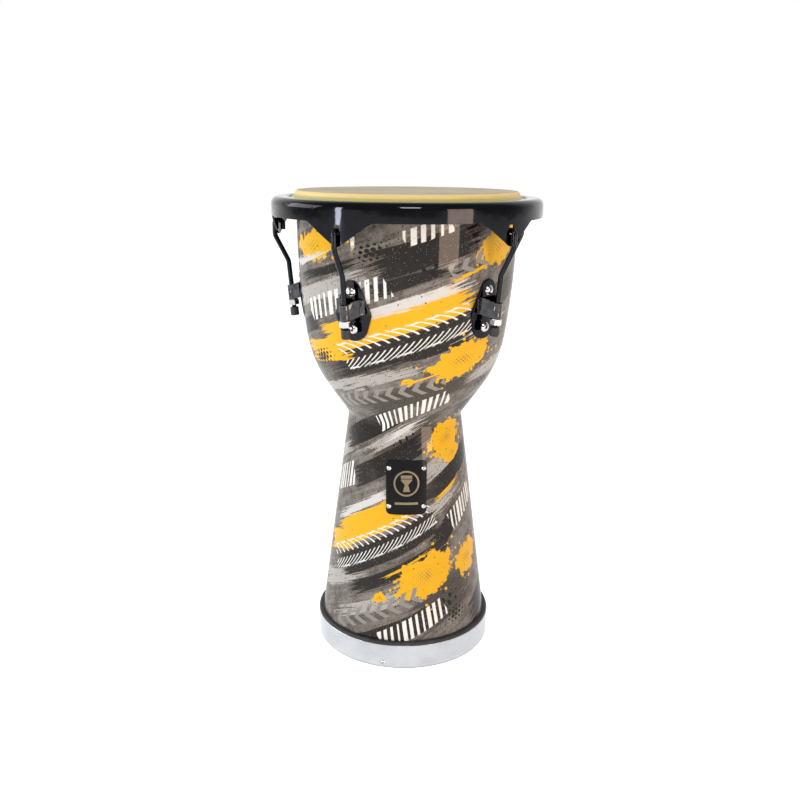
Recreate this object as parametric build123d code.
from build123d import *
import os
from math import atan, cos, degrees, radians, sin, sqrt, tan

# Key-tuned goblet drum. Millimetres, +Z up, origin on the drum's axis at the floor.
# An azimuth is measured from the front (-Y) and grows towards +X.

# Shell: a bowl moulding on a stem moulding, joined at the neck
head_radius = 140.0
wall = 5.0
bowl_top = 607.2
bearing_round = 1.5
upper_arc_radius = 1044.7
upper_arc_top = 578.4
belly_radius = 159.3
belly_top_angle = 8.219
flare_angle = 34.673
neck_height = 321.5
neck_fillet = 10.0
spigot_height = 12.0
spigot_wall = 2.5
stem_base_radius = 117.7
stem_slope = 0.1324

# Foot: rubber ring round the stem's edge, held by an aluminium band
foot_seat_radius = 112.6
foot_pad = 3.0
foot_rubber_top = 37.1
foot_inner_leg = 2.0
foot_inner_leg_height = 12.0
band_radius = 118.8
band_thickness = 1.5
band_bottom = 1.5
band_top = 33.2
band_lip = 0.5
band_lip_height = 1.6
band_screw_azimuths = (-12.5, 107.5, 227.5)
band_screw_height = 6.6
band_screw_head_radius = 3.2

# Head: skin over the bearing edge, its edge wrapped round a steel hoop
skin = 1.5
skin_top_round = 3.0
collar_bottom = 604.5
hoop_wire_radius = 4.0
hoop_radius = 148.6
hoop_height = 592.5
tuck_skin = 1.3
tuck_clearance = 0.4
ramp_top = 604.2
ramp_outer_radius = 149.3
ramp_outer_height = 598.2
ramp_thickness = 3.0

# Rim: pressed steel with a rounded shoulder and five tabs
rim_radius = 171.0
rim_sheet = 2.2
rim_top = 601.5
rim_shoulder = 8.5
rim_lip_radius = 149.8
rim_lip_round = 3.2
rim_lip_bottom = 598.0
rim_bottom = 578.4
tab_half_width = 41.8
tab_apex = 551.0
tab_apex_round = 6.0
tab_root_round = 9.0
tab_slot_width = 8.4
tab_slot_bottom = 564.8
tab_slot_top = 575.8
tab_slot_round = 1.5

# Lugs
lug_count = 5
lug_first_azimuth = -27.5
lug_height = 474.5
gasket = 1.0
plate = 2.2
plate_half_width = 23.5
plate_widest_height = -4.5
plate_top_height = 36.5
plate_bottom_height = -36.5
plate_top_round = 12.0
plate_bottom_round = 19.0
plate_edge_chamfer = 0.6
lug_bolt_heights = (23.5, -21.5)
lug_bolt_radius = 2.5
lug_bolt_head_radius = 6.4
lug_bolt_head_height = 4.3
lug_washer = 1.0
lug_washer_radius = 5.5
lug_nut = 4.0
lug_nut_across_flats = 8.0
bracket_wall = 2.0
bracket_half_width = 14.0
bracket_flange = 19.0
bracket_back_top = 16.0
bracket_back_bottom = -4.0
bracket_flange_top = 14.5
bracket_flange_bottom = -2.5

# Tuning gear, in each lug's tilted frame
rod_standoff = 18.6
rod_radius = 3.175
rod_bore_radius = 4.2
tube_radius = 5.75
tube_top = 11.5
tube_bottom = -7.5
washer_thickness = 1.2
washer_radius = 7.0
nut_height = 6.0
nut_across_flats = 13.0
nut_running_clearance = 0.05
cap_radius = 5.65
cap_height = 11.0
cap_gap = 3.4
cap_end = 1.6
rod_kink_height = 516.0
rod_kink_round = 16.0
hook_radius = 5.55
hook_centre_radius = 169.9
hook_centre_height = 563.5
hook_straight_bottom = 549.0
hook_straight_round = 14.0
hook_tip_height = 556.5

# Name plate on the stem
name_plate_azimuth = 1.9
name_plate_height = 241.0
name_plate_width = 52.0
name_plate_length = 70.0
name_plate_thickness = 1.5
name_plate_round = 6.0
name_screw_x = 22.5
name_screw_z = 24.7
name_screw_head_radius = 3.25
screw_shank_radius = 1.5
screw_shank_length = 6.0

# Worked out from the sizes above
upper_centre = (head_radius - upper_arc_radius, upper_arc_top)
belly_offset = upper_arc_radius - belly_radius
belly_centre = (
    upper_centre[0] + belly_offset * cos(radians(belly_top_angle)),
    upper_centre[1] - belly_offset * sin(radians(belly_top_angle)),
)
flare_cos = cos(radians(flare_angle))
flare_sin = sin(radians(flare_angle))
flare_tan = tan(radians(flare_angle))
stem_tilt = sqrt(1 + stem_slope**2)


def on_belly(radius, angle):
    """Point on a circle about the belly's centre, at an angle below the horizontal."""
    r = belly_centre[0] + radius * cos(radians(angle))
    z = belly_centre[1] - radius * sin(radians(angle))
    return (r, z)


def stem_radius(z):
    return stem_base_radius - stem_slope * z


def bowl_radius(z):
    return upper_centre[0] + sqrt(upper_arc_radius**2 - (z - upper_arc_top) ** 2)


flare_top = on_belly(belly_radius, flare_angle)
neck_centre_z = (
    (stem_base_radius + neck_fillet * stem_tilt - flare_top[0]) * flare_cos
    + flare_top[1] * flare_sin
    - neck_fillet
) / (stem_slope * flare_cos + flare_sin)
neck_centre = (stem_radius(neck_centre_z) + neck_fillet * stem_tilt, neck_centre_z)
neck_drop = neck_height - neck_centre[1]
neck_radius = neck_centre[0] - sqrt(neck_fillet**2 - neck_drop**2)

lug_radius = bowl_radius(lug_height)
lug_lean = degrees(atan((bowl_radius(lug_height + 1) - bowl_radius(lug_height - 1)) / 2))
lug_sin = sin(radians(lug_lean))
lug_cos = cos(radians(lug_lean))
nut_top = tube_bottom - washer_thickness
cap_top = nut_top - nut_height - cap_gap


def ring(edges):
    """Solid of revolution from a closed profile drawn in (radius, height)."""
    return revolve(Plane.XZ * make_face(Curve() + edges), Axis.Z)


def polygon_ring(*points):
    return ring([Polyline(*points, close=True)])


def turn_to(shape, azimuth):
    """Turn a shape drawn with its radius along +X to an azimuth."""
    return Rot(0, 0, azimuth - 90) * shape


def lug_azimuth(index):
    return lug_first_azimuth + index * 360 / lug_count


def lug_frame(out=0.0, up=0.0):
    """Place at a lug on +X: local X out from the shell, local Z up along it."""
    return Location((lug_radius, 0, lug_height), (0, lug_lean, 0)) * Pos(out, 0, up)


def bowl_layer(inside, outside, bottom, top):
    """Layer on the upper bowl between two offsets from its outer face."""
    outer = Pos(*upper_centre) * Circle(upper_arc_radius + outside)
    inner = Pos(*upper_centre) * Circle(upper_arc_radius + inside)
    window = Pos(head_radius, (bottom + top) / 2) * Rectangle(60, top - bottom)
    return revolve(Plane.XZ * ((outer - inner) & window), Axis.Z)


def outward(shape_2d, near, far):
    """Extrude a sketch drawn in (sideways, height) along +X, between two radii."""
    return extrude(Plane.YZ.offset(near) * shape_2d, far - near)


# Shell

def bowl_solid():
    """Outside: neck fillet, straight flare, belly arc, long upper arc, upright top."""
    inner_flare = on_belly(belly_radius - wall, flare_angle)
    inner_neck = inner_flare[0] - (inner_flare[1] - neck_height) * flare_tan
    fillet_top = (
        neck_centre[0] - neck_fillet * flare_cos,
        neck_centre[1] + neck_fillet * flare_sin,
    )
    start = 180 - degrees(atan(neck_drop / (neck_centre[0] - neck_radius)))
    sweep = 180 - flare_angle - start
    turn = flare_angle - belly_top_angle
    inside = head_radius - wall
    edges = [
        CenterArc(neck_centre, neck_fillet, start, sweep),
        Line(fillet_top, flare_top),
        CenterArc(belly_centre, belly_radius, -flare_angle, turn),
        CenterArc(upper_centre, upper_arc_radius, -belly_top_angle, belly_top_angle),
        Line((head_radius, upper_arc_top), (head_radius, bowl_top - bearing_round)),
        CenterArc((head_radius - bearing_round, bowl_top - bearing_round), bearing_round, 0, 90),
        Polyline(
            (head_radius - bearing_round, bowl_top),
            (inside + 2, bowl_top),
            (inside, bowl_top - 2),
            (inside, upper_arc_top),
        ),
        CenterArc(upper_centre, upper_arc_radius - wall, -belly_top_angle, belly_top_angle),
        CenterArc(belly_centre, belly_radius - wall, -flare_angle, turn),
        Polyline(inner_flare, (inner_neck, neck_height), (neck_radius, neck_height)),
    ]
    return ring(edges)


def stem_solid():
    """Cone with a rebated foot and a spigot that fits up inside the bowl's neck."""
    inner_flare = on_belly(belly_radius - wall, flare_angle)
    spigot_outer = inner_flare[0] - (inner_flare[1] - neck_height) * flare_tan
    spigot_shift = spigot_height * flare_tan
    spigot_inner = spigot_outer - spigot_wall / flare_cos
    spigot_top = neck_height + spigot_height
    fillet_bottom = (
        neck_centre[0] - neck_fillet / stem_tilt,
        neck_centre[1] - neck_fillet * stem_slope / stem_tilt,
    )
    seat_top = (stem_base_radius - foot_seat_radius) / stem_slope
    side_wall = wall * stem_tilt
    low = 180 + degrees(atan(stem_slope))
    high = 180 - degrees(atan(neck_drop / (neck_centre[0] - neck_radius)))
    edges = [
        Polyline(
            fillet_bottom,
            (foot_seat_radius, seat_top),
            (foot_seat_radius, foot_pad),
            (foot_seat_radius - side_wall, foot_pad),
            (foot_seat_radius - side_wall, seat_top),
            (stem_radius(neck_height - 8) - side_wall, neck_height - 8),
            (spigot_inner, neck_height),
            (spigot_inner + spigot_shift, spigot_top),
            (spigot_outer + spigot_shift, spigot_top),
            (spigot_outer, neck_height),
            (neck_radius, neck_height),
        ),
        CenterArc(neck_centre, neck_fillet, high, low - high),
    ]
    return ring(edges)


# Foot

def foot_rubber():
    """U-section under the stem's edge, with a bead that shows above the band."""
    leg = foot_seat_radius - wall * stem_tilt
    side = band_radius - band_thickness
    bead = band_radius - 0.4
    return polygon_ring(
        (leg - foot_inner_leg, 0),
        (side - 0.6, 0),
        (side + 0.9, 0.6),
        (side + 0.9, band_bottom),
        (side, band_bottom),
        (side, band_top),
        (bead, band_top),
        (bead, foot_rubber_top - 1.6),
        (bead - 1.2, foot_rubber_top - 0.4),
        (bead - 2.6, foot_rubber_top),
        (foot_seat_radius, foot_rubber_top),
        (foot_seat_radius, foot_pad),
        (leg, foot_pad),
        (leg, foot_inner_leg_height),
        (leg - foot_inner_leg, foot_inner_leg_height),
    )


def foot_band():
    """Flat band with a small rolled lip at its top."""
    side = band_radius - band_thickness
    lip = band_radius + band_lip
    return polygon_ring(
        (side, band_bottom),
        (band_radius, band_bottom),
        (band_radius, band_top - band_lip_height - 0.3),
        (lip, band_top - band_lip_height),
        (lip, band_top - 0.4),
        (lip - 0.4, band_top),
        (side, band_top),
    )


def domed_screw(head_radius_mm, head_height, shank_radius, shank_length):
    """Round head above local Z = 0 and a shank below it."""
    sphere_radius = (head_radius_mm**2 + head_height**2) / (2 * head_height)
    ball = Pos(0, 0, head_height - sphere_radius) * Sphere(sphere_radius)
    head = ball & Pos(0, 0, head_height) * Box(40, 40, 2 * head_height)
    shank = Pos(0, 0, -shank_length / 2) * Cylinder(shank_radius, shank_length)
    return head + shank


def point_out(shape, radius, height, lean=0.0, side=0.0):
    """Lay a screw drawn along +Z so that it points out along +X at a radius."""
    return Location((radius, side, height), (0, 90 + lean, 0)) * shape


def band_screws():
    screw = domed_screw(band_screw_head_radius, 1.7, screw_shank_radius, screw_shank_length)
    placed = point_out(screw, band_radius, band_screw_height)
    return [turn_to(placed, azimuth) for azimuth in band_screw_azimuths]


# Name plate

def name_plate_lean():
    return degrees(atan(stem_slope))


def name_plate():
    """Rounded rectangle bent round the stem."""
    outline = RectangleRounded(name_plate_width, name_plate_length, name_plate_round)
    block = outward(Pos(0, name_plate_height) * outline, 60, 120)
    low = name_plate_height - name_plate_length
    high = name_plate_height + name_plate_length
    thick = name_plate_thickness * stem_tilt
    layer = polygon_ring(
        (stem_radius(low), low),
        (stem_radius(low) + thick, low),
        (stem_radius(high) + thick, high),
        (stem_radius(high), high),
    )
    return turn_to(block & layer, name_plate_azimuth)


def name_plate_screws():
    screw = domed_screw(name_screw_head_radius, 1.8, screw_shank_radius, screw_shank_length)
    thick = name_plate_thickness * stem_tilt
    screws = []
    for up in (name_screw_z, -name_screw_z):
        z = name_plate_height + up
        face = stem_radius(z) + thick
        for side in (-name_screw_x, name_screw_x):
            turned = degrees(atan(side / sqrt(face**2 - side**2)))
            placed = point_out(screw, face, z, -name_plate_lean())
            screws.append(turn_to(placed, name_plate_azimuth + turned))
    return screws


# Lugs

def plate_outline():
    """Egg: a small top arc and a large bottom arc inside the plate's width."""
    top = Pos(0, plate_top_height - plate_top_round) * Circle(plate_top_round)
    bottom = Pos(0, plate_bottom_height + plate_bottom_round) * Circle(plate_bottom_round)
    middle = Pos(0, plate_widest_height) * Ellipse(plate_half_width, 17)
    egg = make_hull((top + bottom + middle).edges())
    return Pos(0, lug_height) * egg


def lug_sheet(inside, outside):
    """Egg-shaped sheet bent to the bowl, between two offsets from its outer face."""
    block = outward(plate_outline(), 110, 170)
    layer = bowl_layer(inside, outside, lug_height - 45, lug_height + 45)
    return block & layer


def lug_plate():
    sheet = lug_sheet(gasket, gasket + plate)
    outer_face = sheet.faces().sort_by(Axis.X)[-1]
    return chamfer(outer_face.edges(), plate_edge_chamfer)


def bracket():
    """Folded strap: two flanges on the plate, two webs that close on the rod's tube."""
    back = gasket + plate
    lean_in = rod_standoff - back
    web_outer = Polyline(
        (back, -bracket_half_width),
        (rod_standoff, -tube_radius),
        (rod_standoff, tube_radius),
        (back, bracket_half_width),
        close=True,
    )
    web_inner = Polyline(
        (back - 1, bracket_wall - bracket_half_width),
        (rod_standoff - 1, bracket_wall - tube_radius),
        (rod_standoff - 1, tube_radius - bracket_wall),
        (back - 1, bracket_half_width - bracket_wall),
        close=True,
    )
    webs = make_face(web_outer) - make_face(web_inner)
    side_outline = Polyline(
        (back, bracket_back_bottom),
        (back + lean_in, tube_bottom),
        (back + lean_in, tube_top),
        (back, bracket_back_top),
        close=True,
    )
    side = extrude(Plane.XZ * make_face(side_outline), 30, both=True)
    arms = (Pos(0, 0, -20) * extrude(webs, 60)) & side
    flange_height = bracket_flange_top - bracket_flange_bottom
    flange_middle = (bracket_flange_top + bracket_flange_bottom) / 2
    flange = Pos(back + bracket_wall / 2, 0, flange_middle) * Box(
        bracket_wall, 2 * bracket_flange, flange_height
    )
    gap = Pos(back, 0, 0) * Box(20, 2 * (bracket_half_width - bracket_wall), 80)
    tube_height = tube_top - tube_bottom
    tube_middle = (tube_top + tube_bottom) / 2
    tube = Pos(rod_standoff, 0, tube_middle) * Cylinder(tube_radius, tube_height)
    bore = Pos(rod_standoff, 0, tube_middle) * Cylinder(rod_bore_radius, 80)
    folded = arms + (flange - gap) + tube - bore
    in_place = lug_frame() * folded
    behind = bowl_layer(-20, gasket + plate, lug_height - 45, lug_height + 45)
    return in_place - behind


def lug_fastener_frames(depth):
    """Places on the two bolts' axes, at an offset from the shell's outer face."""
    frames = []
    for up in lug_bolt_heights:
        z = lug_height + up
        lean = degrees(atan((bowl_radius(z + 1) - bowl_radius(z - 1)) / 2))
        frames.append(Location((bowl_radius(z), 0, z), (0, 90 + lean, 0)) * Pos(0, 0, depth))
    return frames


def lug_bolts():
    length = gasket + plate + wall + lug_washer + lug_nut + 1.5
    bolt = domed_screw(lug_bolt_head_radius, lug_bolt_head_height, lug_bolt_radius, length)
    return [place * bolt for place in lug_fastener_frames(gasket + plate)]


def lug_washers():
    disc = Cylinder(lug_washer_radius, lug_washer) - Cylinder(lug_bolt_radius, 10)
    depth = -wall - 0.15 - lug_washer / 2
    return [place * disc for place in lug_fastener_frames(depth)]


def hexagon_nut(across_flats, height, bore_radius):
    outline = RegularPolygon(across_flats / 2, 6, major_radius=False)
    return extrude(outline - Circle(bore_radius), height)


def lug_nuts():
    nut = hexagon_nut(lug_nut_across_flats, lug_nut, lug_bolt_radius)
    depth = -wall - 0.15 - lug_washer - lug_nut
    return [place * nut for place in lug_fastener_frames(depth)]


# Tuning gear

def on_rod(shape, up):
    """Put a shape drawn along +Z on the rod's axis at a height up the lug."""
    return lug_frame(rod_standoff, up) * shape


def rod_axis_point(height):
    """Radius of the lower rod's axis at a height above the floor."""
    base = lug_radius + rod_standoff * lug_cos
    base_height = lug_height - rod_standoff * lug_sin
    return base + (height - base_height) * lug_sin / lug_cos


def tuning_rod():
    """J-hook: threaded lower end, a lean outwards, then a hook over the tab."""
    end_up = cap_top - cap_height + cap_end
    end_point = (lug_frame(rod_standoff, end_up)).position
    outer_leg = hook_centre_radius + hook_radius
    inner_leg = hook_centre_radius - hook_radius
    hook_top = hook_centre_height + hook_radius
    path = FilletPolyline(
        (end_point.X, end_point.Z),
        (rod_axis_point(rod_kink_height), rod_kink_height),
        (outer_leg, hook_straight_bottom),
        (outer_leg, hook_top),
        (inner_leg, hook_top),
        (inner_leg, hook_tip_height),
        radius=[rod_kink_round, hook_straight_round, hook_radius - 0.05, hook_radius - 0.05],
    )
    spine = Plane.XZ * path
    start = Plane(origin=spine @ 0, z_dir=spine % 0)
    return sweep(start * Circle(rod_radius), path=spine)


def rod_cap():
    """Soft cap pushed on the rod's threaded end."""
    body = Cylinder(cap_radius, cap_height, align=(Align.CENTER, Align.CENTER, Align.MAX))
    body = chamfer(body.edges(), 0.8)
    depth = cap_height - cap_end
    hole = Cylinder(rod_radius, depth, align=(Align.CENTER, Align.CENTER, Align.MAX))
    return on_rod(body - hole, cap_top)


def tuning_washer():
    disc = Cylinder(washer_radius, washer_thickness) - Cylinder(rod_bore_radius, 10)
    return on_rod(disc, tube_bottom - washer_thickness / 2)


def tuning_nut():
    """Hexagon nut with its corners turned off at both ends."""
    nut = hexagon_nut(nut_across_flats, nut_height, rod_radius + nut_running_clearance)
    cone_radius = nut_across_flats / 2 + 0.2
    slope = tan(radians(30))
    tall = cone_radius + nut_height * 1.5
    upright = Pos(0, 0, nut_height / 2)
    turned = upright * Cylinder(tall, nut_height)
    lower_edge = turned.edges().sort_by(Axis.Z)[0]
    upper_edge = turned.edges().sort_by(Axis.Z)[-1]
    cut = tall - cone_radius
    turned = chamfer([lower_edge, upper_edge], length=cut * slope * 0.5, length2=cut)
    return on_rod(nut & turned, nut_top - nut_height)


# Head and rim

def drum_head():
    """Skin stretched over the bearing edge, with a short upright collar."""
    inner_round = head_radius - bearing_round
    bend = bowl_top - bearing_round
    outside = head_radius + skin
    edges = [
        Polyline((0, bowl_top), (inner_round, bowl_top)),
        CenterArc((inner_round, bend), bearing_round, 0, 90),
        Polyline(
            (head_radius, bend),
            (head_radius, collar_bottom),
            (outside, collar_bottom),
            (outside, bend),
        ),
        CenterArc((inner_round, bend), skin_top_round, 0, 90),
        Polyline((inner_round, bowl_top + skin), (0, bowl_top + skin), (0, bowl_top)),
    ]
    return ring(edges)


def head_tuck():
    """Skin wrapped round the hoop, and the ramp from the collar out to it."""
    collar = head_radius + skin + tuck_clearance
    wrap = Pos(hoop_radius, hoop_height) * Circle(hoop_wire_radius + tuck_skin)
    ramp = make_face(Polyline(
        (collar, ramp_top),
        (ramp_outer_radius, ramp_outer_height),
        (hoop_radius + 2, hoop_height + hoop_wire_radius),
        (hoop_radius - 2, hoop_height + hoop_wire_radius - 1),
        (collar, ramp_top - ramp_thickness),
        close=True,
    ))
    wire = Pos(hoop_radius, hoop_height) * Circle(hoop_wire_radius)
    return revolve(Plane.XZ * (wrap + ramp - wire), Axis.Z)


def flesh_hoop():
    wire = Pos(hoop_radius, hoop_height) * Circle(hoop_wire_radius)
    return revolve(Plane.XZ * wire, Axis.Z)


def rounded_block(inside, outside, bottom, top, inner_round, outer_round):
    """Rectangle in (radius, height) with its two top corners rounded."""
    middle = Pos((inside + outside) / 2, (bottom + top) / 2)
    block = middle * Rectangle(outside - inside, top - bottom)
    corners = block.vertices().sort_by_distance((inside, top, 0))
    block = fillet(corners[0], inner_round)
    corners = block.vertices().sort_by_distance((outside, top, 0))
    return fillet(corners[0], outer_round)


def rim_ring():
    """Pressed section: upright band, round shoulder, flat top, lip turned down."""
    outer = rounded_block(
        rim_lip_radius, rim_radius, rim_bottom, rim_top, rim_lip_round, rim_shoulder
    )
    inner = rounded_block(
        rim_lip_radius + rim_sheet,
        rim_radius - rim_sheet,
        rim_bottom - 1,
        rim_top - rim_sheet,
        rim_lip_round - rim_sheet,
        rim_shoulder - rim_sheet,
    )
    low = rim_lip_bottom - rim_bottom + 1
    below_lip = Pos(rim_lip_radius, rim_lip_bottom - low / 2) * Rectangle(2 * rim_sheet + 2, low)
    return revolve(Plane.XZ * (outer - inner - below_lip), Axis.Z)


def tab_outline():
    """Triangle with a round apex, hanging from a strip of the band, rounded where they meet."""
    strip = Pos(0, rim_bottom + 2) * Rectangle(2 * tab_half_width + 50, 4)
    apex = Pos(0, tab_apex + tab_apex_round) * Circle(tab_apex_round)
    base = Polyline((-tab_half_width, rim_bottom), (tab_half_width, rim_bottom))
    sheet = make_hull(apex.edges() + base.edges()) + strip
    for side in (-tab_half_width, tab_half_width):
        root = sheet.vertices().sort_by_distance((side, rim_bottom, 0))[0]
        sheet = fillet(root, tab_root_round)
    slot_height = tab_slot_top - tab_slot_bottom
    slot_middle = (tab_slot_top + tab_slot_bottom) / 2
    slot = RectangleRounded(tab_slot_width, slot_height, tab_slot_round)
    return sheet - Pos(0, slot_middle) * slot


def rim():
    """Ring and five tabs, each cut with a slot for its rod's hook."""
    band = Cylinder(rim_radius, 60) - Cylinder(rim_radius - rim_sheet, 60)
    band = Pos(0, 0, tab_apex + 20) * band
    tab = outward(tab_outline(), 100, 200) & band
    body = rim_ring()
    for index in range(lug_count):
        body = body + turn_to(tab, lug_azimuth(index))
    return body


# All sub-parts, cut where fasteners pass through them

def build():
    at_lugs = [lug_azimuth(index) for index in range(lug_count)]
    nodes = {}
    bolts = [turn_to(bolt, azimuth) for azimuth in at_lugs for bolt in lug_bolts()]
    plate_screws = name_plate_screws()
    foot_screws = band_screws()
    nodes["shell_bowl"] = bowl_solid() - bolts
    nodes["shell_stem"] = stem_solid() - plate_screws - foot_screws
    nodes["foot_rubber"] = foot_rubber() - foot_screws
    nodes["foot_band"] = foot_band() - foot_screws
    nodes["foot_band_screws"] = Compound(foot_screws)
    nodes["name_plate"] = name_plate() - plate_screws
    nodes["name_plate_screws"] = Compound(plate_screws)
    lug_parts = {
        "lug_gasket": lug_sheet(0, gasket) - lug_bolts(),
        "lug_plate": lug_plate() - lug_bolts(),
        "lug_bracket": bracket(),
        "tuning_rod": tuning_rod(),
        "rod_cap": rod_cap(),
        "tuning_nut": tuning_nut(),
    }
    for name, shape in lug_parts.items():
        for index, azimuth in enumerate(at_lugs):
            nodes[f"{name}_{index + 1}"] = turn_to(shape, azimuth)
    washers = [turn_to(washer, azimuth) for azimuth in at_lugs for washer in lug_washers()]
    nuts = [turn_to(nut, azimuth) for azimuth in at_lugs for nut in lug_nuts()]
    nodes["lug_bolts"] = Compound(bolts)
    nodes["lug_bolt_washers"] = Compound(washers)
    nodes["lug_bolt_nuts"] = Compound(nuts)
    nodes["tuning_washers"] = Compound([turn_to(tuning_washer(), azimuth) for azimuth in at_lugs])
    nodes["drum_head"] = drum_head()
    nodes["head_tuck"] = head_tuck()
    nodes["flesh_hoop"] = flesh_hoop()
    nodes["rim"] = rim()
    return nodes


os.makedirs("parts", exist_ok=True)
for node_name, node_shape in build().items():
    export_step(node_shape, f"parts/{node_name}.step")
    print(node_name, round(node_shape.volume, 1), "mm3")
print("lug lean", round(lug_lean, 3), "deg at radius", round(lug_radius, 3))
axis_point = lug_frame(rod_standoff, 0).position
print("rod axis through radius", round(axis_point.X, 4), "height", round(axis_point.Z, 4))
